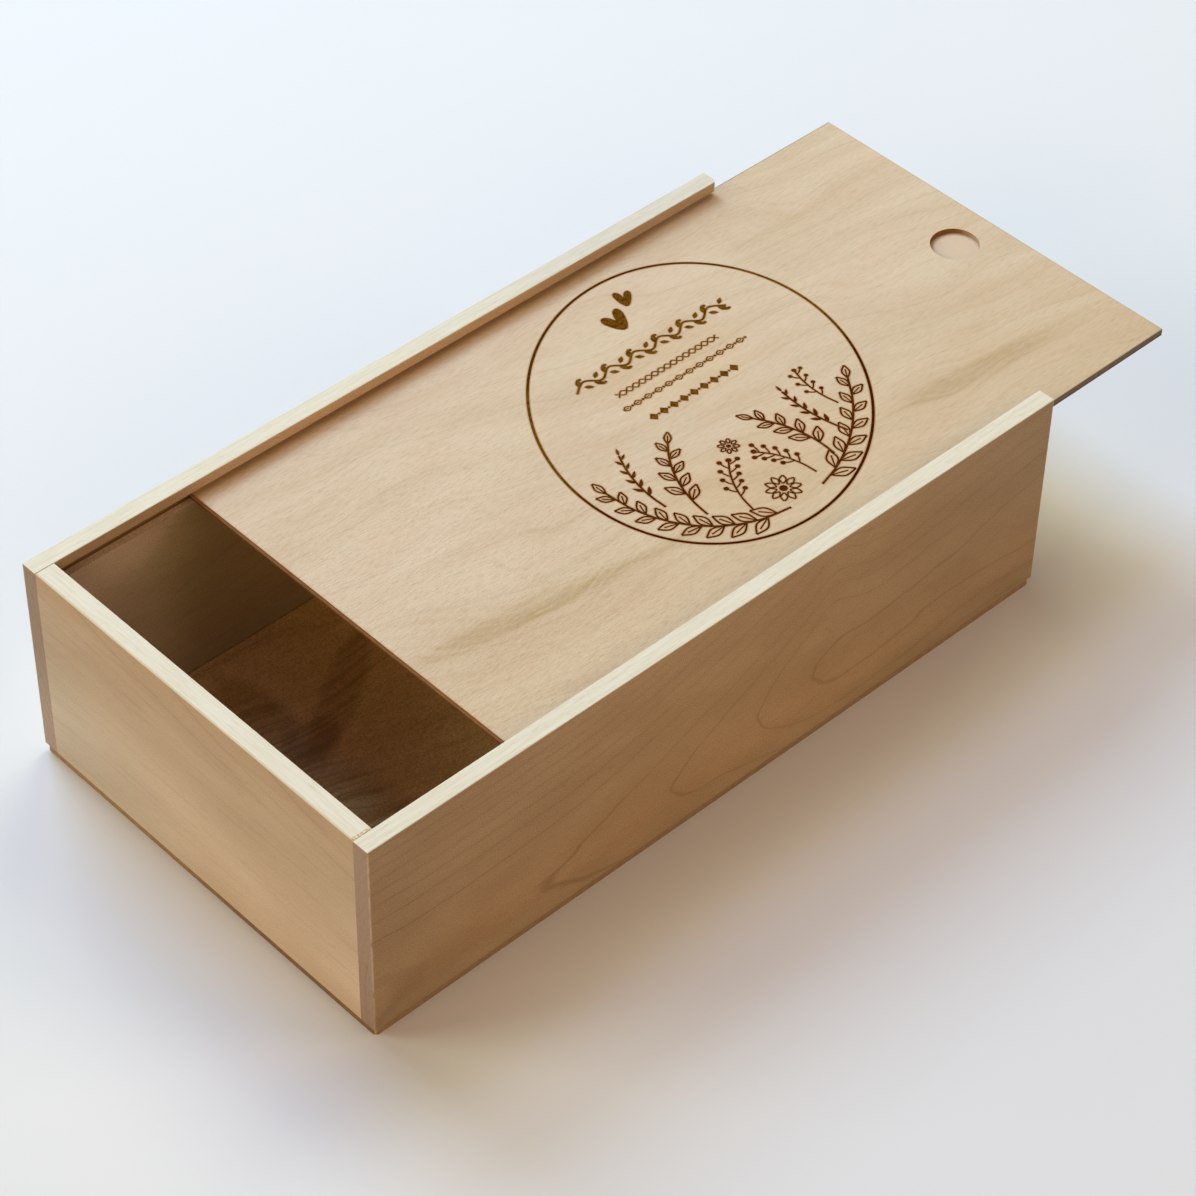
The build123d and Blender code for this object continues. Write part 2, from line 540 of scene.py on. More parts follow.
def end_board(name, pale, deep, seed):
    """An end board's wood, with its grain along the board and three faint arcs."""
    wood = Finish(name)
    x, z = wood.x, wood.z
    across = -wood.y
    fine, coarse = fibre_marks(wood, wood.y, z, x, length=6.0, width=0.6, seed=seed)
    tone = wood.noise(across / 80, z / 26, x / 9, 1.0, seed=seed + 1)
    slope = z + ripple(wood, across, z, x, 1.2, seed + 4)
    arc = (across * 0.42 + slope - (rim - slope) ** 2 * 0.052) / 24
    lines = growth_lines(wood, arc, thin=0.10, soft=0.10)
    layers = wood.noise(across / 60, slope / 2.2, x / 3, 2.0, 0.5, seed + 7)

    colour = wood.mix(wood.step(tone, 0.3, 0.7), pale, deep)
    colour = wood.grade(
        colour,
        (across + z * 1.1, 60, -90, (0.89, 0.98, 1.08)),  # cooler low by the left board
        (z, 60, 96, (0.97, 0.945, 0.92)),  # with the next line, darker and warmer towards the rim, the top of the painted bounce-light gradient
        (z, 86, 98, (0.96, 0.92, 0.87)),
    )
    clear = wood.step(z, 60, 92, 0.05, 0.45)
    colour = wood.shade(colour, lines * clear, (0.72, 0.66, 0.58))
    colour = wood.grade(
        colour,
        (layers, 0.5, 0.72, (0.93, 0.915, 0.89)),
        (fine, 0.45, 0.8, (0.88, 0.86, 0.83)),
        (coarse, 0.5, 0.8, (0.95, 0.94, 0.92)),
    )
    colour = speckled(wood, colour, 0.20)
    colour = wood.grade(colour, (z, 78, 16, (1.25, 1.30, 1.41)))  # paler low down, painted light bounced from the floor

    on_rim = on_rim_of(wood)
    colour = wood.mix(on_rim, colour, rim_wood(wood, fine, wood.y, x))
    worn = wood.noise(x / 3, across / 6, z / 3, 2.0, 0.5, seed + 9)
    from_arris = end_face - abs(x) + rim - z + (worn - 0.5) * 0.6
    arris = wood.step(from_arris, 0.4, 1.3, 1.0, 0.0)
    colour = wood.shade(colour, arris * on_rim, (0.86, 0.76, 0.62))
    inside = (abs(x), end_inner + 0.5, end_inner + 0.2, (1.25, 1.22, 1.12))
    colour = wood.grade(colour, inside)
    return wood, colour, fine, coarse


def closed_end():
    """The end board at full height, with an open joint and old glue beside it."""
    wood, colour, fine, coarse = end_board(
        "closed_end_wood", srgb(202, 177, 144), srgb(194, 167, 134), seed=70.0
    )
    x, y, z = wood.x, wood.y, wood.z
    gap = wood.within(y, end_joint, 0.0, 0.5) * wood.step(z, rim - 12, rim - 1)
    colour = wood.mix(gap * 0.85, colour, srgb(86, 58, 34))
    crumbs = wood.noise(x / 1.1, y / 0.8, z / 1.1, 3.0, 0.7, seed=75.0)
    glue = wood.within(y, -end_joint, 0.0, 2.0) * wood.step(z, rim - 1.5, rim - 0.5)
    colour = wood.mix(glue * wood.step(crumbs, 0.40, 0.52), colour, srgb(196, 146, 78))
    colour = wood.mix(glue * wood.step(crumbs, 0.56, 0.62), colour, srgb(92, 58, 30))
    height = grain_height(fine, coarse) - gap * 3
    return wood.surface(colour, 0.6, wood.bump(height, 0.05))


def low_end():
    """The lower end board, which the lid slides out over."""
    wood, colour, fine, coarse = end_board(
        "low_end_wood", srgb(214, 192, 158), srgb(203, 178, 144), seed=80.0
    )
    return wood.surface(colour, 0.6, wood.bump(grain_height(fine, coarse), 0.05))


# ---- plywood -------------------------------------------------------------------------

# the lid's smudges: what streak takes for each of them, and how dark it is
lid_smudges = (
    ((-58, -42), 68, 7.5, -0.12, 0.62),
    ((176, -62), 52, 8.0, -0.10, 0.55),
    ((-14, -50), 60, 5.0, -0.10, 0.40),
    ((178, 58), 30, 4.0, -0.06, 0.30),
)


def veneer_figure(wood, seed):
    """Peeled veneer: fine and coarse marks, slow tones, narrow bands and flowing lines."""
    x, y = wood.x, wood.y
    fine, coarse = fibre_marks(wood, x, y, wood.z, length=4.2, width=0.5, seed=seed)
    sway = wood.noise(x / 90, y / 34, 0.0, 1.0, seed=seed + 1)
    flow = y + x * 0.16 + (sway - 0.5) * 46
    tone = wood.noise(x / 120, flow / 16, 0.0, 2.0, 0.55, seed + 2)
    bands = wood.noise(x / 150, flow / 3.2, 0.0, 3.0, 0.6, seed + 4)
    lines = growth_lines(wood, flow / 17, thin=0.10, soft=0.12)
    return fine, coarse, tone, bands, lines


def streak(wood, middle, half_length, half_width, slope=0.0):
    """A long smudge, 1 at its middle."""
    along = wood.x - middle[0]
    across = wood.y - middle[1] - along * slope
    spread = (along / half_length) ** 2 + (across / half_width) ** 2
    return wood.step(spread, 0.0, 1.0, 1.0, 0.0)


def from_notch(wood):
    """How far a point is from the middle of the thumb notch."""
    return square_distance(wood, notch_middle).math("SQRT")


def toward_shaded_side(wood):
    """How far a point lies from the thumb notch towards its side that the light leaves in
    shade.
    """
    return wood.y * 0.85 - (wood.x - notch_middle[0]) * 0.52


def notch_wall_scorch_and_shade(wood):
    """How dark the thumb notch's wall is made: partly all round for its scorch, and fully as
    painted shade on the side away from the light.
    """
    return wood.step(toward_shaded_side(wood), -8, 4, 0.45, 1.0)


def charred_sides(wood, colour):
    """The lid's long sawn sides, burnt darker than its ends."""
    side = (abs(wood.y), lid_high.y - 0.45, lid_high.y - 0.1, (0.50, 0.55, 0.60))
    return wood.grade(colour, side)


def darkened_foot(wood, colour):
    """The base's edges under the closed end, darker towards the right board."""
    under_end = wood.step(wood.x, 1 - end_face, 0.6 - end_face)
    return wood.shade(colour, under_end * wood.step(wood.y, 60, -50), (0.66, 0.62, 0.55))


def burnt_edges(wood, sheet_box, colour, edge_colour):
    """A sheet's colour, with edge_colour where it was sawn."""
    low, high = (corner / MM for corner in sheet_box)
    edge_share = wood.step(edge_gap(wood, low, high), 0.1, 0.8, 1.0, 0.0)
    return wood.mix(edge_share, colour, edge_colour)


def darkened_edges(wood, sheet_box, colour):
    """The darkened edges of a sheet, by whether it is part of the lid or of the base."""
    darkening = charred_sides if sheet_box[0].z / MM > rim / 2 else darkened_foot
    return darkening(wood, colour)


def lid_veneer(name, scorched=0.0):
    """The lid's face. scorched, from 0 to 1, browns it beside the burnt marks."""
    wood = Finish(name)
    x, y, z = wood.x, wood.y, wood.z
    fine, coarse, tone, bands, lines = veneer_figure(wood, seed=100.0)
    blush = wood.noise(x / 45, y / 22, 0.0, 2.0, 0.5, seed=111.0)
    colour = wood.mix(wood.step(tone, 0.28, 0.72), srgb(216, 194, 167), srgb(208, 185, 156))
    colour = wood.grade(
        colour,
        (blush, 0.40, 0.66, (0.98, 0.945, 0.935)),
        (y, 5, -88, (0.94, 0.915, 0.86)),
        (bands, 0.46, 0.72, (0.95, 0.93, 0.89)),
    )
    colour = wood.shade(colour, lines * 0.25, (0.80, 0.75, 0.66))
    haze = streak(wood, (88, 22), 46, 30) + streak(wood, (74, -46), 75, 30)
    colour = wood.shade(colour, haze, (0.985, 0.95, 0.88))
    # painted shadow of the left board's lip on the lid's edge, fading out before the lip's
    # far end
    lip_shadow = wood.step(y, 84, 91) * wood.step(x, 150, 120)
    colour = wood.shade(colour, lip_shadow, (0.86, 0.74, 0.60))
    dark_patches = sum(streak(wood, *shape) * dark for *shape, dark in lid_smudges)
    along_bands = wood.step(bands, 0.34, 0.62, 0.45, 1.0)
    colour = wood.shade(colour, dark_patches * along_bands, (0.74, 0.68, 0.50))
    colour = wood.grade(colour, (fine, 0.42, 0.76, (0.88, 0.855, 0.81)))
    colour = wood.mix(wood.step(fine, 0.24, 0.44, 0.22, 0.0), colour, srgb(231, 211, 185))
    raised_grain = wood.step(x, 100, -50) * wood.step(y, 75, 10, 0.45, 1.0)
    marks = wood.step(fine, 0.46, 0.72) * raised_grain
    colour = wood.shade(colour, marks, (0.945, 0.93, 0.915))
    colour = flecked(wood, colour, 0.066, raised_grain)
    colour = wood.grade(colour, (coarse, 0.52, 0.8, (0.95, 0.93, 0.91)))
    if scorched:
        colour = wood.shade(colour, scorched, (0.72, 0.50, 0.28))

    # the sawn edges, and the walls of the thumb notch, scorched and darker still as painted
    # shade on the side away from the light
    ragged = wood.noise(x, y, 0.0, 3.0, 0.6, seed=120.0)
    gap = edge_gap(wood, lid_low, lid_high)
    scorch = wood.step(gap + (ragged - 0.5) * 0.8, 0.0, 0.9, 1.0, 0.0)
    colour = wood.shade(colour, scorch * 0.5, (0.80, 0.58, 0.36))
    under_face = wood.step(lid_high.z - z, 0.02, 0.15)
    edge_wall = under_face * wood.step(gap, 0.05, 0.2, 1.0, 0.0)
    colour = wood.mix(edge_wall * 0.9, colour, srgb(136, 98, 70))
    # the notch's wall: its scorch, and painted shade on the side away from the light
    notch_wall = under_face * wood.within(from_notch(wood), 0.0, notch_radius + 0.3, 0.2)
    colour = wood.mix(notch_wall * notch_wall_scorch_and_shade(wood), colour, srgb(134, 90, 46))
    colour = charred_sides(wood, colour)
    return wood.surface(colour, 0.58, wood.bump(fine * 0.7 + coarse * 0.3, 0.025))


def laser_burn():
    """The floor and walls of the engraving: golden above, redder towards the foot."""
    wood = Finish("laser_burn")
    x, y, z = wood.x, wood.y, wood.z
    speck = wood.noise(x / 0.7, y / 0.7, z / 0.7, 3.0, 0.7, seed=130.0)
    patch = wood.noise(x / 3.5, y / 2.5, 0.0, 2.0, 0.5, seed=133.0)
    blotch = wood.noise(x / 2.0, y / 2.0, 0.0, 1.0, seed=136.0)
    golden = wood.mix(wood.step(speck, 0.3, 0.7), srgb(91, 55, 6), srgb(129, 89, 20))
    russet = wood.mix(wood.step(speck, 0.3, 0.7), srgb(66, 24, 0), srgb(105, 52, 7))
    from_hearts = square_distance(wood, hearts_middle)
    singed = wood.step(y, 46, 54) * wood.step(from_hearts, 180, 240, 0.25, 1.0)
    charred = singed.math("MAXIMUM", wood.step(patch, 0.5, 0.66) * 0.6)
    golden = wood.shade(golden, charred, (0.55, 0.42, 0.2))
    colour = wood.mix(wood.step(y, 12, -30), golden, russet)

    # the ring itself is darker than the leaves inside its foot
    from_x, from_y = x - ring_middle.x, y - ring_middle.y
    along = from_x * math.cos(ring_turn) + from_y * math.sin(ring_turn)
    across = from_y * math.cos(ring_turn) - from_x * math.sin(ring_turn)
    out = (along / ring_half_long) ** 2 + (across / ring_half_short) ** 2
    low_ring = wood.step(abs(out - 1), 0.065, 0.045) * wood.step(y, 12, -40)
    colour = wood.shade(colour, low_ring, (0.62, 0.45, 0.36))
    colour = wood.grade(colour, (blotch, 0.46, 0.66, (0.70, 0.50, 0.42)))
    return wood.surface(colour, 0.85, wood.bump(speck, 0.03), specular=0.02)


def ply_core(name, sheet_box, edge_pale, edge_dark):
    """A middle ply: pale inside, scorched at its sawn edges and at the notch's wall, with
    painted shadow on the notch's floor and painted shade on its wall, on the side away from
    the light.
    """
    wood = Finish(name)
    x, y, z = wood.x, wood.y, wood.z
    fine, _ = fibre_marks(wood, y, x, z, length=4.0, seed=140.0)
    tone = wood.noise(x / 3, y / 3, z / 0.6, 3.0, 0.6, seed=143.0)
    colour = wood.mix(fine, srgb(218, 194, 169), srgb(206, 181, 154))
    edge = wood.mix(wood.step(tone, 0.3, 0.7), edge_pale, edge_dark)
    colour = burnt_edges(wood, sheet_box, colour, edge)

    # painted shadow on the notch's floor beside its wall, on the side away from the light
    middle_gap = from_notch(wood)
    singed = (
        wood.step(middle_gap, notch_radius - 2.8, notch_radius)
        * wood.step(toward_shaded_side(wood), -2, 9)
        * wood.step(middle_gap, notch_radius + 1.5, notch_radius + 0.5)
    )
    colour = wood.shade(colour, singed, (0.50, 0.35, 0.20))
    # the notch's wall: its scorch, and painted shade on the side away from the light
    notch_wall = wood.within(middle_gap, notch_radius, 0.0, 0.35)
    colour = wood.mix(notch_wall * notch_wall_scorch_and_shade(wood), colour, srgb(140, 96, 52))
    colour = darkened_edges(wood, sheet_box, colour)
    return wood.surface(colour, 0.7, wood.bump(fine, 0.03))


def ply_skin(
    name, sheet_box, pale, deep, edge_colour, seed, dark_patches=(), wall_joint=False
):
    """An outer ply: birch-like veneer, scorched at its edges.

    Each of the dark patches is what streak takes, and a tint. wall_joint darkens the line
    where the walls stand on it, as the seam and as painted shade along the walls' foot.
    """
    wood = Finish(name)
    fine, coarse, tone, bands, lines = veneer_figure(wood, seed)
    colour = wood.mix(wood.step(tone, 0.28, 0.72), pale, deep)
    colour = wood.grade(colour, (bands, 0.44, 0.72, (0.92, 0.90, 0.86)))
    colour = wood.shade(colour, lines * 0.25, (0.72, 0.64, 0.55))
    for *shape, tint in dark_patches:
        dark_patch = streak(wood, *shape) * wood.step(bands, 0.30, 0.65, 0.5, 1.0)
        colour = wood.shade(colour, dark_patch, tint)
    if wall_joint:
        # the seam where the walls stand on the floor, with painted shade spread 1.4 mm along
        # their foot
        wall_gap = edge_gap(wood, wall_low, wall_high)
        colour = wood.grade(colour, (wall_gap, 1.4, 0.0, (0.50, 0.42, 0.34)))
    colour = wood.grade(colour, (fine, 0.42, 0.76, (0.84, 0.80, 0.75)))
    colour = flecked(wood, colour, 0.22)
    ragged = wood.noise(wood.x / 2, wood.y / 2, wood.z / 0.8, 3.0, 0.6, seed + 9)
    edge = wood.grade(edge_colour, (ragged, 0.35, 0.65, (0.78, 0.72, 0.66)))
    colour = burnt_edges(wood, sheet_box, colour, edge)
    colour = darkened_edges(wood, sheet_box, colour)
    return wood.surface(colour, 0.62, wood.bump(grain_height(fine, coarse), 0.03))


def brad_wire():
    """Bright steel, scratched along the wire."""
    steel = Finish("brad_wire")
    scratch = steel.noise(steel.x / 0.2, steel.y / 0.2, steel.z / 2, 2.0, seed=160.0)
    colour = steel.mix(scratch, (0.50, 0.50, 0.52), (0.62, 0.62, 0.62))
    roughness = steel.step(scratch, 0.3, 0.7, 0.32, 0.48)
    return steel.surface(colour, roughness, steel.bump(scratch, 0.01), 0.5, metallic=1.0)


# ---- engraving -----------------------------------------------------------------------

# in millimetres
engraved_depth = 0.15
halo_reach = 0.45
ring_width = 1.2
stem_width = 0.95
twig_width = 0.8
stalk_width = 0.65
petal_width = 0.7
leaf_width = 0.8
path_step = 1.2
merge_distance = 2e-3

ring_points = 48
dot_sides = 8
hole_sides = 96
sliver = 0.02  # twice the area, in square millimetres, of what a ribbon leaves out
largest_mark = 150.0  # in square millimetres
keep_inside = 1  # how delaunay_2d_cdt is told to drop what lies outside the areas


def heading(turn):
    """The flat direction at turn degrees from +X."""
    return Vector((math.cos(math.radians(turn)), math.sin(math.radians(turn))))


def path_turn(path, share):
    """The way that path runs at share of its length, in degrees from +X."""
    way = path(share + 0.01) - path(share)
    return math.degrees(math.atan2(way.y, way.x))


def smooth_path(points, closed):
    """Points about path_step apart on a smooth curve through the given ones."""
    points = [Vector(point) for point in points]
    count = len(points)
    path = []
    for n in range(count if closed else count - 1):
        here, there = points[n], points[(n + 1) % count]
        before = points[n - 1] if closed or n else here * 2 - there
        inside = closed or n + 2 < count
        beyond = points[(n + 2) % count] if inside else there * 2 - here
        pieces = max(2, round((there - here).length / path_step))
        for piece in range(pieces):
            share = piece / pieces
            path.append(
                here
                + (there - before) * (share / 2)
                + (before * 2 - here * 5 + there * 4 - beyond) * (share**2 / 2)
                + (here * 3 - before - there * 3 + beyond) * (share**3 / 2)
            )
    return path if closed else path + [points[-1]]


def turning(first, second, third):
    """Twice the area of a triangle, negative where it runs clockwise."""
    return (second - first).cross(third - first)


def ribbon(path, width, closed):
    """The pieces of a band of the given width along a path, none of them clockwise."""
    count = len(path)
    rails = []
    for n, point in enumerate(path):
        before = path[n - 1] if closed or n else point
        after = path[(n + 1) % count] if closed or n + 1 < count else point
        side = Vector((before.y - after.y, after.x - before.x)).normalized()
        rails.append((point + side * width / 2, point - side * width / 2))
    pieces = []
    for n in range(count if closed else count - 1):
        (left, right), (far_left, far_right) = rails[n], rails[(n + 1) % count]
        halves = [left, right, far_right], [left, far_right, far_left]
        if all(turning(*half) > 0 for half in halves):
            pieces.append([left, right, far_right, far_left])
        else:
            pieces += [
                half if turning(*half) > 0 else half[::-1]
                for half in halves
                if abs(turning(*half)) > sliver
            ]
    return pieces


def flat_sheet(areas):
    """Corners and triangles over the areas, each triangle with the areas that hold it."""
    points = [point for area in areas for point in area]
    loops, start = [], 0
    for area in areas:
        loops.append(list(range(start, start + len(area))))
        start += len(area)
    at, _, faces, _, _, held_by = delaunay_2d_cdt(
        points, [], loops, keep_inside, merge_distance
    )
    spread = [0.0] * len(areas)
    for loop, owners in zip(faces, held_by):
        for owner in owners:
            spread[owner] += abs(turning(*(at[n] for n in loop))) / 2
    # now and then a small area is said to hold the whole sheet, and is left out
    held_by = [
        [owner for owner in owners if owner < 2 or spread[owner] < largest_mark]
        for owners in held_by
    ]
    return at, list(zip(faces, held_by))


class Engraving:
    """Line ornament for the lid, drawn in millimetres and sunk into its face."""

    def __init__(self):
        self.marks = []
        self.halos = []

    def stroke(self, points, width, closed=False):
        """A line of even width, with its halo, on a smooth curve through the points."""
        path = smooth_path(points, closed)
        self.marks += ribbon(path, width, closed)
        self.halos += ribbon(path, width + 2 * halo_reach, closed)

    def spot(self, points):
        """A solid mark, with its halo, inside an outline that runs anticlockwise."""
        outline = [Vector(point) for point in points]
        self.marks.append(outline)
        self.halos += ribbon(outline, 2 * halo_reach, closed=True)

    def disc(self, middle, radius):
        """A solid dot."""
        turns = [360 / dot_sides * n for n in range(dot_sides)]
        self.spot([Vector(middle) + radius * heading(turn) for turn in turns])

    def bow(self, start, end, bulge, width):
        """A curved line that stands off to the left of start to end by bulge."""
        start, end = Vector(start), Vector(end)
        side = Vector((start.y - end.y, end.x - start.x)).normalized()
        self.stroke([start, (start + end) / 2 + side * bulge, end], width)

    def leaf(self, base, turn, length, breadth, width=leaf_width):
        """An almond outline with a midrib."""
        base = Vector(base)
        tip = base + heading(turn) * length
        self.bow(base, tip, breadth / 2, width)
        self.bow(base, tip, -breadth / 2, width)
        self.stroke([base, base.lerp(tip, 0.7)], width * 0.75)

    def blade(self, base, turn, length, breadth):
        """A solid leaf."""
        base = Vector(base)
        way, side = heading(turn), heading(turn + 90)
        edge = [(0.25, 0.38), (0.5, 0.5), (0.78, 0.30)]
        self.spot(
            [base]
            + [base + way * length * along - side * breadth * out for along, out in edge]
            + [base + way * length]
            + [
                base + way * length * along + side * breadth * out
                for along, out in reversed(edge)
            ]
        )

    def sprig(self, path, leaves, length, breadth, spread, bare=0.0, solid=False):
        """A stem along path(0 to 1) with leaves to either side and one at its end."""
        self.stroke([path(n / 6) for n in range(7)], stem_width)
        grow = self.blade if solid else self.leaf
        for count in range(leaves):
            share = bare + (1 - bare) * count / leaves
            side = 1 if count % 2 else -1
            size = 1 - 0.35 * share
            turn = path_turn(path, share) + side * spread
            grow(path(share), turn, length * size, breadth * size)
        grow(path(1.0), path_turn(path, 0.98), length * 0.7, breadth * 0.65)

    def berry_twig(self, path, berries, reach, radius):
        """A stem along path(0 to 1) with round berries to either side."""
        self.stroke([path(n / 4) for n in range(5)], twig_width)
        for count in range(berries):
            share = 0.3 + 0.7 * count / berries
            side = 1 if count % 2 else -1
            tip = path(share) + reach * heading(path_turn(path, share) + side * 46)
            self.bow(path(share), tip, 0.3 * side, stalk_width)
            self.disc(tip, radius)
        self.disc(path(1.0), radius * 1.15)

    def daisy(self, middle, radius, petals, turn):
        """A small disc with open petals round it."""
        middle = Vector(middle)
        self.disc(middle, radius * 0.24)
        for count in range(petals):
            way = heading(turn + 360 * count / petals)
            base, tip = middle + way * radius * 0.34, middle + way * radius
            self.bow(base, tip, radius * 0.19, petal_width)
            self.bow(base, tip, -radius * 0.19, petal_width)

    def brush_stroke(self, base, tip, breadth):
        """A solid stroke that widens from its base to a round tip."""
        base, tip = Vector(base), Vector(tip)
        way = tip - base
        side = Vector((-way.y, way.x)).normalized() * breadth / 2
        edge = [
            (0.0, 0.28), (0.10, 0.60), (0.28, 0.88), (0.52, 1.0),
            (0.76, 0.98), (0.90, 0.76), (0.975, 0.42), (1.0, 0.12),
        ]
        self.spot(
            [base + way * along - side * out for along, out in edge]
            + [base + way * along + side * out for along, out in reversed(edge)]
        )

    def heart(self, foot, left_top, right_top, breadth):
        """A heart of two brush strokes that rise from its foot."""
        self.brush_stroke(foot, left_top, breadth)
        self.brush_stroke(foot, right_top, breadth * 0.94)

    def face(self, low, high, top, bottom, hole_middle, hole_radius):
        """The lid's face from bottom to top, the marks sunk, with a round hole.

        Its finishes are 0 for the wood, 1 for the burnt marks and 2 for their halos.
        """
        corners = [
            Vector((low.x, low.y)), Vector((high.x, low.y)),
            Vector((high.x, high.y)), Vector((low.x, high.y)),
        ]
        hole = [
            Vector(hole_middle) + hole_radius * heading(360 / hole_sides * n)
            for n in range(hole_sides)
        ]
        last_mark = 1 + len(self.marks)
        sunk = top - engraved_depth
        form = bmesh.new()
        corner_at = {}

        def corner(point, height):
            key = (round(point.x, 4), round(point.y, 4), round(height, 4))
            if key not in corner_at:
                place = (point.x * MM, point.y * MM, height * MM)
                corner_at[key] = form.verts.new(place)
            return corner_at[key]

        def add(ring, finish):
            form.faces.new(ring).material_index = finish

        at, faces = flat_sheet([corners, hole] + self.marks + self.halos)
        level_of = {}
        for loop, owners in faces:
            if 1 in owners:
                level = None
            elif any(2 <= owner <= last_mark for owner in owners):
                level = sunk
                add([corner(at[n], level) for n in loop], 1)
            else:
                level = top
                haloed = any(owner > last_mark for owner in owners)
                add([corner(at[n], level) for n in loop], 2 if haloed else 0)
            for n, first in enumerate(loop):
                level_of[(first, loop[(n + 1) % len(loop)])] = level
        for (first, second), level in level_of.items():
            if level is None:
                continue
            other = level_of.get((second, first))
            other = bottom if other is None else other
            if other < level:
                wall = [
                    corner(at[first], level), corner(at[first], other),
                    corner(at[second], other), corner(at[second], level),
                ]
                add(wall, 1 if other == sunk else 0)
        at, faces = flat_sheet([corners, hole])
        for loop, owners in faces:
            if 1 not in owners:
                add([corner(at[n], bottom) for n in reversed(loop)], 0)
        return form


def on_ring(turn, scale=1.0):
    """A point on the ring, or on a smaller one inside it."""
    way = heading(turn)
    flat = Vector((ring_half_long * way.x, ring_half_short * way.y))
    return ring_middle + scale * (Matrix.Rotation(ring_turn, 2) @ flat)


def draw_ornament(work):
    """The ring, two hearts, rows of borders, and leaves along the ring's foot."""
    ring = [on_ring(360 / ring_points * n) for n in range(ring_points)]
    work.stroke(ring, ring_width, closed=True)
    work.heart((89.8, 52.7), (86.4, 63.9), (95.4, 65.0), 4.9)
    work.heart((100.5, 62.9), (101.8, 72.8), (107.1, 70.2), 3.6)

    # the largest row, a leafy scroll
    start, pitch, level = 47.0, 7.0, 38.0
    work.stroke(
        [(start + n * pitch, level + (2.0 if n % 2 else -2.0)) for n in range(13)], 1.0
    )
    for n in range(12):
        side = 1 if n % 2 == 0 else -1
        along = start + (n + 0.5) * pitch
        work.blade((along, level), side * 62, 5.6, 2.6)
        work.blade((along + 1.6, level - side * 0.6), side * -38, 4.2, 2.0)
        work.disc((along + 3.2, level + side * 3.9), 0.75)

    # two thin borders and a bold one
    for phase in (0, 1):
        work.stroke(
            [(58.0 + n * 3.5, 24.4 + (1.4 if (n + phase) % 2 else -1.4)) for n in range(17)],
            0.6,
        )
    for n in range(12):
        middle = 54.0 + n * 5.75
        work.leaf((middle, 16.2), 0.0, 3.9, 2.6, 0.55)
        work.disc((middle + 4.85, 16.2), 0.65)
    for n in range(9):
        middle = 60.5 + n * 5.6
        work.spot([(middle - 2.1, 5.6), (middle, 3.3), (middle + 2.1, 5.6), (middle, 7.9)])
        if n < 8:
            work.disc((middle + 2.8, 5.6), 0.6)

    # a laurel along the foot of the ring, with upright sprigs, twigs and daisies
    def laurel(first, last):
        return lambda share: on_ring(first + (last - first) * share, 0.885)

    def rising(base, tip, lean):
        base, tip = Vector(base), Vector(tip)
        side = Vector((base.y - tip.y, tip.x - base.x)).normalized()
        return lambda share: base.lerp(tip, share) + side * (lean * 4 * share * (1 - share))

    work.sprig(laurel(208, 136), 16, 11.5, 5.0, 38, bare=0.08)
    work.sprig(laurel(224, 276), 12, 11.5, 5.0, 38, bare=0.10)
    work.sprig(rising((36, -50), (53, -10), 4.0), 8, 10.5, 4.4, 42, bare=0.22)
    work.sprig(rising((98, -58), (89, -22), -3.5), 7, 10.5, 4.4, 42, bare=0.22)
    work.sprig(rising((27, -36), (34, -2), 2.5), 9, 6.0, 2.0, 36, bare=0.25, solid=True)
    work.sprig(rising((112, -52), (109, -18), 2.0), 9, 6.0, 2.0, 36, bare=0.25, solid=True)
    work.berry_twig(rising((51, -60), (64, -33), 2.5), 9, 5.0, 1.15)
    work.berry_twig(rising((85, -61), (75, -36), -2.5), 9, 5.0, 1.15)
    work.berry_twig(rising((121, -38), (122, -12), 2.0), 7, 4.2, 1.0)
    work.daisy((68.5, -59.0), 7.6, 10, 12)
    work.daisy((70.0, -27.0), 4.6, 8, 5)


def engraved_lid_face():
    """Stand the engraved face in for the plain one."""
    work = Engraving()
    draw_ornament(work)
    form = work.face(
        lid_low, lid_high, lid_high.z, lid_low.z, notch_middle, notch_radius
    )
    mesh = bpy.data.meshes.new("lid_face")
    form.to_mesh(mesh)
    form.free()
    mesh.materials.append(lid_veneer("lid_veneer"))
    mesh.materials.append(laser_burn())
    mesh.materials.append(lid_veneer("scorched_veneer", scorched=0.75))
    lid_face = bpy.data.objects.new("lid_face", mesh)
    scene.collection.objects.link(lid_face)
    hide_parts("lid_face_ply")
    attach(lid_face, "lid")


# ---- pieces --------------------------------------------------------------------------

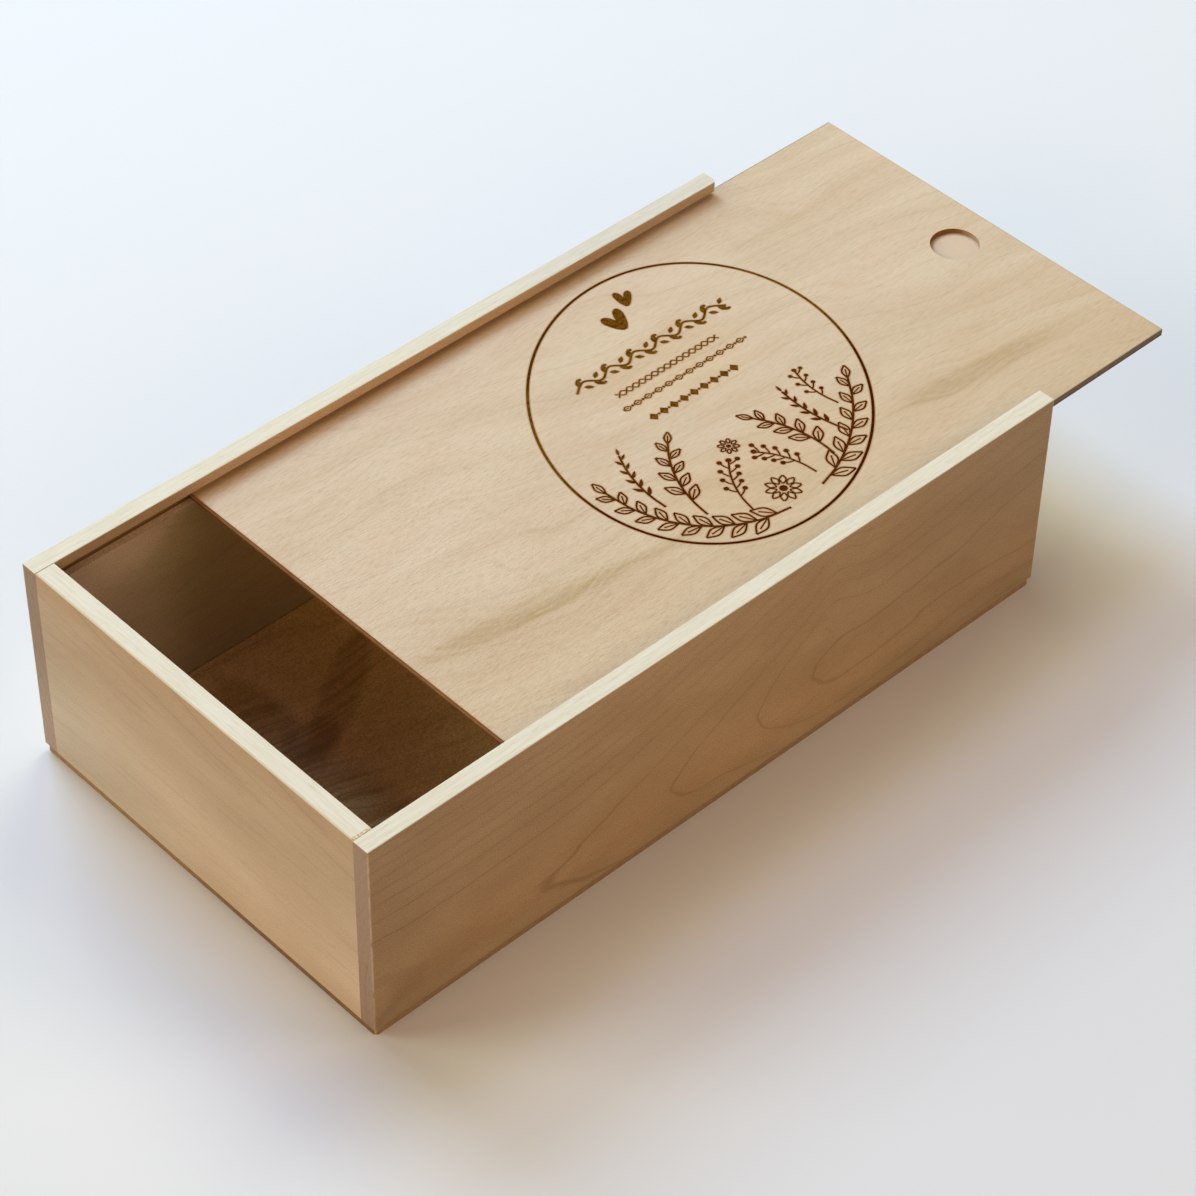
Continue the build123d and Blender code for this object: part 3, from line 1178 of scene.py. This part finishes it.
right_wood = long_board(
    "right_board_wood", -1, srgb(181, 147, 108), srgb(172, 138, 99), right_figure, 0.38,
    ((1.6, 1.66, 1.75),) * 3, (1.0, 1.0, 1.0), srgb(162, 136, 112),
)
left_wood = long_board(
    "left_board_wood", 1, srgb(212, 182, 149), srgb(203, 172, 139), left_figure, 0.12,
    ((0.97, 0.94, 0.93), (0.97, 1.04, 1.28), (0.66, 0.68, 0.67)),
    (0.91, 0.91, 0.95), srgb(154, 131, 110),
)
base_box = (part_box("base_bottom_ply")[0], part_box("base_top_ply")[1])
lid_box = (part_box("lid_back_ply")[0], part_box("lid_face_ply")[1])
finishes = {
    "side_board_right": right_wood,
    "side_board_left": left_wood,
    "end_board_closed": closed_end(),
    "end_board_low": low_end(),
    "base_bottom_ply": ply_skin(
        "base_under_ply", base_box, srgb(204, 178, 140), srgb(190, 162, 122),
        srgb(166, 134, 100), seed=200.0,
    ),
    "base_core_ply": ply_core(
        "base_core_wood", base_box, srgb(170, 138, 103), srgb(146, 114, 82)
    ),
    "base_top_ply": ply_skin(
        "base_floor_ply", base_box, srgb(250, 213, 152), srgb(238, 198, 138),
        srgb(160, 128, 94), seed=210.0, wall_joint=True,
        dark_patches=(
            ((-76, 42), 50, 13, 0.66, (0.65, 0.58, 0.50)),
            ((-102, 31), 18, 14, 0.0, (0.65, 0.60, 0.52)),
            ((-108, 56), 14, 34, 0.0, (0.62, 0.56, 0.42)),
            # painted shade by the open end, where the lamps light the floor inside
            ((-116, -6), 28, 56, -0.4, (0.52, 0.43, 0.24)),
        ),
    ),
    "base_brads": brad_wire(),
    "lid_core_ply": ply_core(
        "lid_core_wood", lid_box, srgb(172, 134, 100), srgb(142, 104, 74)
    ),
    "lid_back_ply": ply_skin(
        "lid_back_veneer", lid_box, srgb(216, 192, 158), srgb(203, 177, 141),
        srgb(112, 80, 56), seed=220.0,
    ),
}
for name, material in finishes.items():
    nodes[name].data.materials.clear()
    nodes[name].data.materials.append(material)

engraved_lid_face()
